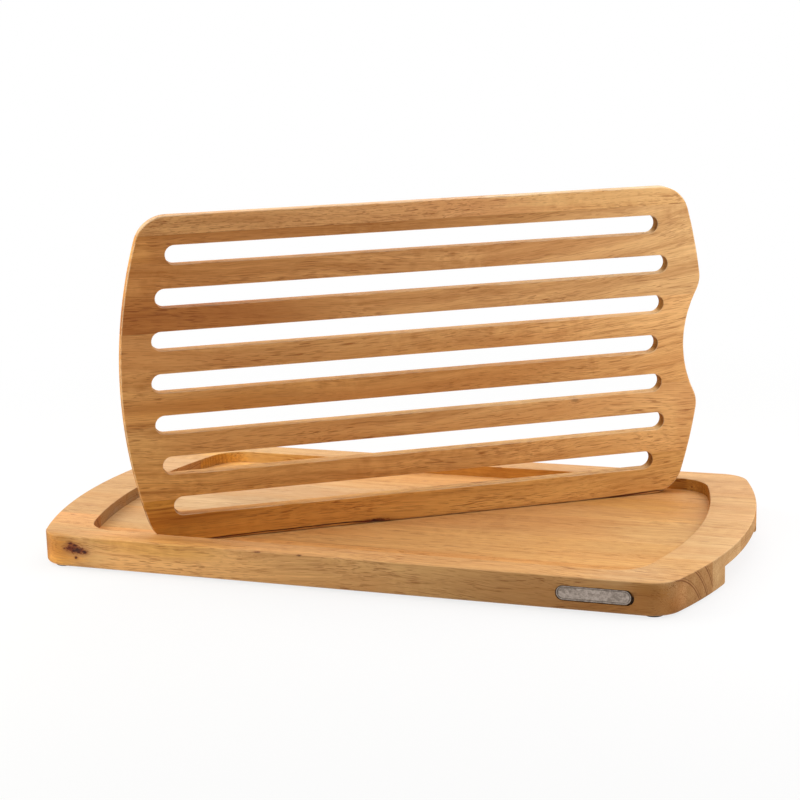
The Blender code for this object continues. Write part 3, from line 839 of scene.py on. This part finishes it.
# Per stave, lower edge to upper, with places in millimetres from the stave's middle
gridWoods = (
    {
        "seed": 11,
        "leftEndTone": (0.58, 0.50, 0.38),
        "tone": (1.03, 0.95, 0.62),
        "sideTone": (0.79, 0.81, 0.95),
        "endDrift": (0.04, 0.16, 0.32),
        "pith": (-30.0, -75.0),
        "flecks": 0.55,
        "knotsAndShade": (
            ((-34.0, -13.2, 4.0), (8.0, 1.3, 3.0), 0.9),
            # Painted contact shadow, dark along the edge that it stands on
            ((95.0, -15.5, 0.0), (260.0, 1.2, 30.0), 0.9),
        ),
        "curls": (((-36.0, -1.0, 4.0), (9.0, 6.0, 6.0)),),
        "stainsAndPaintedLight": (
            # Painted contact shadow along the lower edge
            ((-90.0, -14.6, 0.0), (130.0, 0.6, 30.0), (0.12, 0.05, 0.02), 1.0),
            ((95.0, -14.6, 0.0), (200.0, 0.95, 30.0), (0.10, 0.04, 0.015), 1.0),
            ((-185.0, 4.0, 0.0), (75.0, 9.0, 30.0), (0.82, 0.70, 0.56), 0.9),
            ((-172.0, 12.6, 0.0), (30.0, 1.1, 30.0), (0.58, 0.46, 0.34), 0.9),
            ((-165.0, 9.0, 0.0), (30.0, 0.9, 30.0), (0.70, 0.58, 0.46), 0.8),
            ((-142.0, 3.5, 0.0), (34.0, 1.0, 30.0), (0.76, 0.66, 0.54), 0.8),
            ((-100.0, 0.0, 0.0), (90.0, 12.0, 30.0), (1.08, 1.10, 1.14), 0.8),
        ),
    },
    {
        "seed": 12,
        "leftEndTone": (0.72, 0.66, 0.54),
        "tone": (1.05, 1.02, 0.90),
        "endDrift": (0.05, 0.15, 0.26),
        "edgeDrift": (0.03, 0.09, 0.18),
        "pith": (20.0, -90.0),
        "knotsAndShade": (((103.5, 17.4, 4.0), (2.6, 1.5, 3.0), 0.28),),
        "stainsAndPaintedLight": (
            ((-176.0, -21.0, 0.0), (26.0, 1.1, 30.0), (0.66, 0.54, 0.42), 0.85),
            ((-150.0, -17.0, 0.0), (45.0, 0.8, 30.0), (0.78, 0.68, 0.58), 0.7),
            ((184.0, -2.0, 0.0), (10.0, 26.0, 30.0), (0.86, 0.79, 0.74), 0.8),
        ),
    },
    {
        "seed": 13,
        "leftEndTone": (0.88, 0.87, 0.82),
        "tone": (1.05, 1.00, 0.90),
        "endDrift": (0.03, 0.11, 0.17),
        "edgeDrift": (0.04, 0.07, 0.12),
        "pith": (15.0, -120.0),
        "bend": 10.0,
        "stainsAndPaintedLight": (
            ((-5.0, -10.0, 0.0), (130.0, 26.0, 30.0), (0.86, 0.79, 0.68), 0.9),
            ((-135.0, -17.0, 0.0), (60.0, 9.0, 30.0), (0.93, 0.85, 0.68), 0.9),
        ),
        "curls": (((114.0, -15.0, 4.0), (9.0, 7.0, 6.0)),),
    },
    {
        "seed": 14,
        "leftEndTone": (1.03, 1.10, 1.20),
        "tone": (0.95, 0.88, 0.81),
        "endDrift": (0.0, 0.145, 0.28),
        "pith": (-12.0, -60.0),
        "bend": 18.0,
        "stainsAndPaintedLight": (
            ((-160.0, -27.0, 0.0), (105.0, 15.0, 30.0), (0.70, 0.58, 0.46), 0.95),
            ((-20.0, 30.0, 0.0), (260.0, 7.0, 30.0), (0.82, 0.74, 0.62), 0.9),
            ((-170.0, 12.0, 0.0), (24.0, 3.0, 30.0), (0.84, 0.75, 0.64), 0.7),
            ((-184.0, 20.0, 0.0), (16.0, 14.0, 30.0), (1.25, 1.36, 1.36), 0.8),
        ),
    },
    {
        "seed": 15,
        "leftEndTone": (1.03, 1.10, 1.20),
        "tone": (1.07, 1.01, 1.0),
        "endDrift": (0.0, 0.02, 0.08),
        "pith": (0.0, -80.0),
        "fleckSize": (4.0, 0.55),
        "curls": (((93.0, 0.0, 4.0), (20.0, 8.0, 9.0)),),
        "stainsAndPaintedLight": (
            ((150.0, 0.0, 0.0), (90.0, 20.0, 30.0), (0.99, 1.13, 1.10), 0.9),
            ((66.0, 0.0, 0.0), (30.0, 20.0, 30.0), (1.07, 1.14, 1.18), 0.7),
        ),
        "sideTone": (0.95, 1.15, 1.65),
    },
)


def rightEdge(outline, y):
    points = trace(outline)
    for (x0, y0), (x1, y1) in zip(points, points[1:]):
        if min(x0, x1) > 0 and min(y0, y1) <= y < max(y0, y1):
            return x0 + (x1 - x0) * (y - y0) / (y1 - y0)
    return max(x for x, _ in points)


def slotCuts(outline, plain):
    cuts, face = [], grid["thickness"] / 2
    pitch = (grid["width"] - 2 * grid["edgeBar"] - grid["slotWidth"]) / (grid["slotCount"] - 1)
    for row in range(grid["slotCount"]):
        place = row - (grid["slotCount"] - 1) / 2
        left = grid["leftLand"] - rightEdge(plain, place * pitch)
        left += grid["topSlotInset"] * (row == grid["slotCount"] - 1)
        right = rightEdge(outline, place * pitch)
        right -= grid["rightLand"] + abs(place) * grid["landGrowth"]
        levels = throughLevels(-face, face, grid["slotRound"])
        cuts.append(loft("slotCut", stadium(left, right, place * pitch, grid["slotWidth"]), levels))
    return cuts


# The grid leans on its long edge, turned until its lower corners meet the well's long walls
def standPlace():
    length, width = grid["length"], grid["width"]
    thickness, corner = grid["thickness"], grid["cornerRadius"]
    cornerX = barrelCorner(length, width, grid["endRadius"], corner)[1]
    rise = max(0.0, corner + stand["floorGap"] - tray["wellDepth"])
    span = 2 * (cornerX + math.sqrt(corner**2 - rise**2))
    across = trayWidth - 2 * tray["sideRim"] - 2 * stand["wallGap"]
    yaw = math.asin(across / math.hypot(span, thickness)) - math.atan2(thickness, span)
    lean, back = stand["lean"], width / 2 * math.sin(stand["lean"])
    toe = (thickness / 2 - grid["edgeRound"]) * math.sin(lean)
    middle = Vector((
        stand["shift"] + back * math.sin(yaw),
        tray["wellDepth"] * math.tan(lean) * math.cos(yaw) - back * math.cos(yaw),
        trayHigh.z - tray["wellDepth"] + stand["floorGap"] + toe + width / 2 * math.cos(lean),
    ))
    turned = Matrix.Rotation(yaw, 4, "Z") @ Matrix.Rotation(quarter + lean, 4, "X")
    return Matrix.Translation(middle) @ turned


def makeGrid():
    sizes = (grid["length"], grid["width"], grid["endRadius"], grid["cornerRadius"])
    outline, plain = barrel(*sizes, notch=grid["notch"]), barrel(*sizes)
    length, width, edgeRound = grid["length"], grid["width"], grid["edgeRound"]
    face, over = grid["thickness"] / 2, fineness["overrun"]
    plate = loft("gridPlate", outline, slabLevels(-face, face, edgeRound, edgeRound))
    blank = carve("gridBlank", plate, slotCuts(outline, plain))
    place = standPlace()
    joints, gap = grid["jointShares"], grid["glueLine"] / 2
    for number, (node, wood) in enumerate(zip(gridNames, gridWoods), 1):
        low = width * (joints[number - 1] - 0.5) + (gap if number > 1 else -over)
        high = width * (joints[number] - 0.5) + (over if number == len(gridNames) else -gap)
        reach = length / 2 + over
        keep = block("keep", (-reach, low, -face - over), (reach, high, face + over))
        stave = carve(f"gridStave{number}", blank.copy(), [], keep)
        share = (joints[number - 1] + joints[number]) / 2
        middle = Matrix.Translation((0, width * (share - 0.5), 0))
        stave.transform(middle.inverted())
        finish = oiledWood(f"gridWood{number}", wood, grid)
        addPiece(f"gridStave{number}", stave, finish, "grid", node, place @ middle)


makeGrid()
print("grid standing")


def agedPewter():
    finish, tree, shader = newFinish("agedPewter")
    _, spot = placeInMillimetres(tree)
    # How far in from the rim, round the whole plate
    reach = (badge["length"] - badge["height"]) / 2 / mm
    axes = tree.nodes.new("ShaderNodeSeparateXYZ")
    plug(tree, axes.inputs[0], spot)
    past = calc(tree, "SUBTRACT", calc(tree, "ABSOLUTE", axes.outputs[0]), reach)
    past = calc(tree, "POWER", calc(tree, "MAXIMUM", past, 0.0), 2.0)
    across = calc(tree, "POWER", axes.outputs[1], 2.0)
    outward = calc(tree, "SQRT", calc(tree, "ADD", past, across))
    inward = calc(tree, "SUBTRACT", badge["height"] / 2 / mm, outward)
    blotches = vectorCalc(tree, "MULTIPLY", spot, badge["blotches"])
    blotches = noise(tree, blotches, detail=4.0, roughness=0.62)
    speckle = vectorCalc(tree, "MULTIPLY", spot, badge["speckle"])
    speckle = noise(tree, speckle, detail=3.0, roughness=0.6)
    scratches = vectorCalc(tree, "MULTIPLY", spot, badge["scratches"])
    scratches = noise(tree, scratches, detail=2.0, roughness=0.6)
    colour = tint(tree, fade(tree, blotches, *badge["dullLevels"]), badge["pale"], badge["dull"])
    colour = tint(tree, fade(tree, speckle, *badge["speckleLevels"]), colour, badge["grimeAndShade"])
    # Patina lies in the corner inside the rim, deepened there as painted shade, and a painted
    # shadow of the pocket's edge lies round the plate's edge
    corner = calc(tree, "SUBTRACT", inward, (badge["rim"] + badge["rimSlope"]) / mm)
    corner = calc(tree, "ABSOLUTE", corner)
    fray = calc(tree, "SUBTRACT", speckle, 0.5)
    corner = calc(tree, "MULTIPLY_ADD", fray, badge["cornerFray"], corner)
    colour = tint(tree, fade(tree, corner, *badge["cornerPatinaAndShade"]), colour, badge["grimeAndShade"])
    colour = tint(tree, fade(tree, inward, *badge["edgeShadow"]), colour, badge["grimeAndShade"])
    plug(tree, shader.inputs["Base Color"], colour)
    shader.inputs["Metallic"].default_value = 1.0
    rough = calc(tree, "MULTIPLY_ADD", blotches, badge["blotchRoughness"], badge["roughness"])
    rough = calc(tree, "MULTIPLY_ADD", scratches, badge["scratchRoughness"], rough, clamp=True)
    plug(tree, shader.inputs["Roughness"], rough)
    height = calc(tree, "MULTIPLY", scratches, badge["scratchHeight"])
    height = calc(tree, "MULTIPLY_ADD", speckle, badge["speckleHeight"], height)
    height = calc(tree, "ADD", height, blotches)
    addRelief(tree, shader, height, badge["bump"], badge["bumpStrength"])
    return finish


def makeBadge():
    outline = stadium(-badge["length"] / 2, badge["length"] / 2, 0, badge["height"])
    back, face = trayLow.y - badgeHigh.y, -badge["sink"]
    rim, drop = badge["rim"], badge["fieldDrop"]
    levels = [(back, 0.0), *slabLevels(back, face, 0.0, badge["round"])[-fineness["round"] - 1 :]]
    levels += [(face, -rim), (face - drop, -rim - badge["rimSlope"])]
    plate, place = loft("badgePlate", outline, levels), frontEdgePlace()
    addPiece("badgePlate", plate, agedPewter(), "tray", "badge_plate", place)


makeBadge()
print("badge let in")


def blackRubber():
    finish, tree, shader = newFinish("blackRubber")
    _, spot = placeInMillimetres(tree)
    patches = vectorCalc(tree, "MULTIPLY", spot, feet["patches"])
    patches = noise(tree, patches, detail=3.0, roughness=0.6)
    grit = vectorCalc(tree, "MULTIPLY", spot, feet["grit"])
    grit = noise(tree, grit, detail=2.0, roughness=0.6)
    dusty = fade(tree, patches, *feet["patchLevels"])
    dust = calc(tree, "MULTIPLY", dusty, fade(tree, grit, *feet["gritLevels"]))
    plug(tree, shader.inputs["Base Color"], tint(tree, dust, feet["black"], feet["dusty"]))
    rough = calc(tree, "MULTIPLY_ADD", dust, feet["dustRoughness"], feet["roughness"])
    plug(tree, shader.inputs["Roughness"], rough)
    addRelief(tree, shader, grit, feet["bump"], feet["bumpStrength"])
    return finish


# Each foot is a moulded disc with a shallow dish below
def makeFeet():
    rubber = blackRubber()
    for name in footNames:
        x, y, radius, top = footPlace(name)
        disc = [(0, 0, radius, 0, 2 * math.pi, fineness["foot"])]
        dish = feet["dishShare"] * radius
        levels = [(feet["dishDepth"], dish - feet["dishSlope"] - radius), (0.0, dish - radius)]
        levels += [*slabLevels(0.0, top, feet["round"], 0.0)[: fineness["round"] + 1], (top, 0.0)]
        pieceName = "".join(word.title() for word in name.split("_"))
        foot, place = loft(pieceName, disc, levels), Matrix.Translation((x, y, 0))
        addPiece(pieceName, foot, rubber, "tray", name, place)


makeFeet()
print("feet on")

# Floor, light and camera
studio = {
    "floorRadius": 14.0,
    "floorSteps": 96,
    "floorColour": (0.75, 0.75, 0.75),
    # How far out the floor turns white, and how white it is near the board and far off
    "floorWhite": (0.25, 0.75, 0.8, 1.0),
    "ambient": 0.0,
    # name: where, aimed at, size, power in watts, colour
    "lamps": {
        "overhead": ((0.0, 0.0, 1.4), (0.0, 0.0, 0.0), (1.5, 1.2), 11.8, (1.0, 0.98, 0.96)),
        "aboveLeft": ((-1.1, 0.0, 1.0), (0.0, 0.0, 0.0), (0.9, 0.9), 12.6, (1.0, 1.0, 0.97)),
        "behind": ((0.1, 0.9, 1.1), (0.0, 0.0, 0.0), (1.2, 0.9), 6.1, (0.98, 1.0, 1.0)),
        "behindRight": ((0.9, 0.8, 0.6), (0.0, 0.0, 0.0), (0.8, 0.8), 3.3, (1.0, 0.95, 0.85)),
        "left": ((-0.55, -0.45, 0.2), (-0.2, -0.12, 0.02), (0.3, 0.3), 2.2, (1.0, 0.94, 0.78)),
        "right": ((0.55, 0.0, 0.3), (0.16, 0.1, 0.12), (0.3, 0.5), 2.1, (1.0, 0.97, 1.0)),
    },
}


def aimed(where, target):
    way = Vector(target) - Vector(where)
    return Matrix.Translation(where) @ way.to_track_quat("-Z", "Y").to_matrix().to_4x4()


def seenDirectly(tree):
    path = tree.nodes.new("ShaderNodeLightPath")
    seen = calc(tree, "MAXIMUM", path.outputs["Is Camera Ray"], path.outputs["Is Glossy Ray"])
    return calc(tree, "MAXIMUM", seen, path.outputs["Is Transmission Ray"])


def makeFloor():
    finish = bpy.data.materials.new("paleFloor")
    finish.use_nodes = True
    tree = finish.node_tree
    tree.nodes.clear()
    matt = tree.nodes.new("ShaderNodeBsdfDiffuse")
    matt.inputs["Color"].default_value = (*studio["floorColour"], 1.0)
    white = tree.nodes.new("ShaderNodeEmission")
    where = tree.nodes.new("ShaderNodeTexCoord")
    away = vectorCalc(tree, "LENGTH", where.outputs["Object"])
    whiteness = fade(tree, away, *studio["floorWhite"])
    share = calc(tree, "MULTIPLY", whiteness, seenDirectly(tree))
    both = tree.nodes.new("ShaderNodeMixShader")
    plug(tree, both.inputs[0], share)
    plug(tree, both.inputs[1], matt.outputs[0])
    plug(tree, both.inputs[2], white.outputs[0])
    out = tree.nodes.new("ShaderNodeOutputMaterial")
    plug(tree, out.inputs["Surface"], both.outputs[0])
    steps, radius = studio["floorSteps"], studio["floorRadius"]
    shape = bmesh.new()
    bmesh.ops.create_circle(shape, cap_ends=True, segments=steps, radius=radius)
    mesh = meshOf("floor", shape)
    mesh.materials.append(finish)
    floor = bpy.data.objects.new("floor", mesh)
    scene.collection.objects.link(floor)


def makeWorld():
    world = bpy.data.worlds.new("studio")
    scene.world = world
    world.use_nodes = True
    tree = world.node_tree
    back = tree.nodes["Background"]
    back.inputs["Color"].default_value = (1.0, 1.0, 1.0, 1.0)
    ambient = studio["ambient"]
    level = calc(tree, "MULTIPLY_ADD", seenDirectly(tree), 1.0 - ambient, ambient)
    plug(tree, back.inputs["Strength"], level)


def makeLamps():
    for name, (where, target, size, power, colour) in studio["lamps"].items():
        lamp = bpy.data.lights.new(name, "AREA")
        lamp.shape, lamp.size, lamp.size_y = "RECTANGLE", *size
        lamp.energy, lamp.color = power, colour
        hung = bpy.data.objects.new(name, lamp)
        hung.matrix_world = aimed(where, target)
        hung.visible_camera = False
        scene.collection.objects.link(hung)


# The camera's spot, and its turn, tilt and roll in radians
view = {
    "spot": (407.0 * mm, -1119.0 * mm, 351.5 * mm),
    "turn": 0.3508,
    "tilt": 0.2154,
    "roll": -0.0282,
    "focalPixels": 1876.1,
    "sensor": 36.0,
    "imageWidth": 800,
}


def makeCamera():
    lens = bpy.data.cameras.new("camera")
    lens.sensor_width = view["sensor"]
    lens.lens = view["focalPixels"] / view["imageWidth"] * view["sensor"]
    camera = bpy.data.objects.new("camera", lens)
    spot, turn = Matrix.Translation(view["spot"]), Matrix.Rotation(view["turn"], 4, "Z")
    tilt = Matrix.Rotation(quarter - view["tilt"], 4, "X")
    roll = Matrix.Rotation(view["roll"], 4, "Z")
    camera.matrix_world = spot @ (turn @ tilt) @ roll
    scene.collection.objects.link(camera)
    scene.camera = camera


makeFloor()
makeWorld()
makeLamps()
makeCamera()
print("studio set")
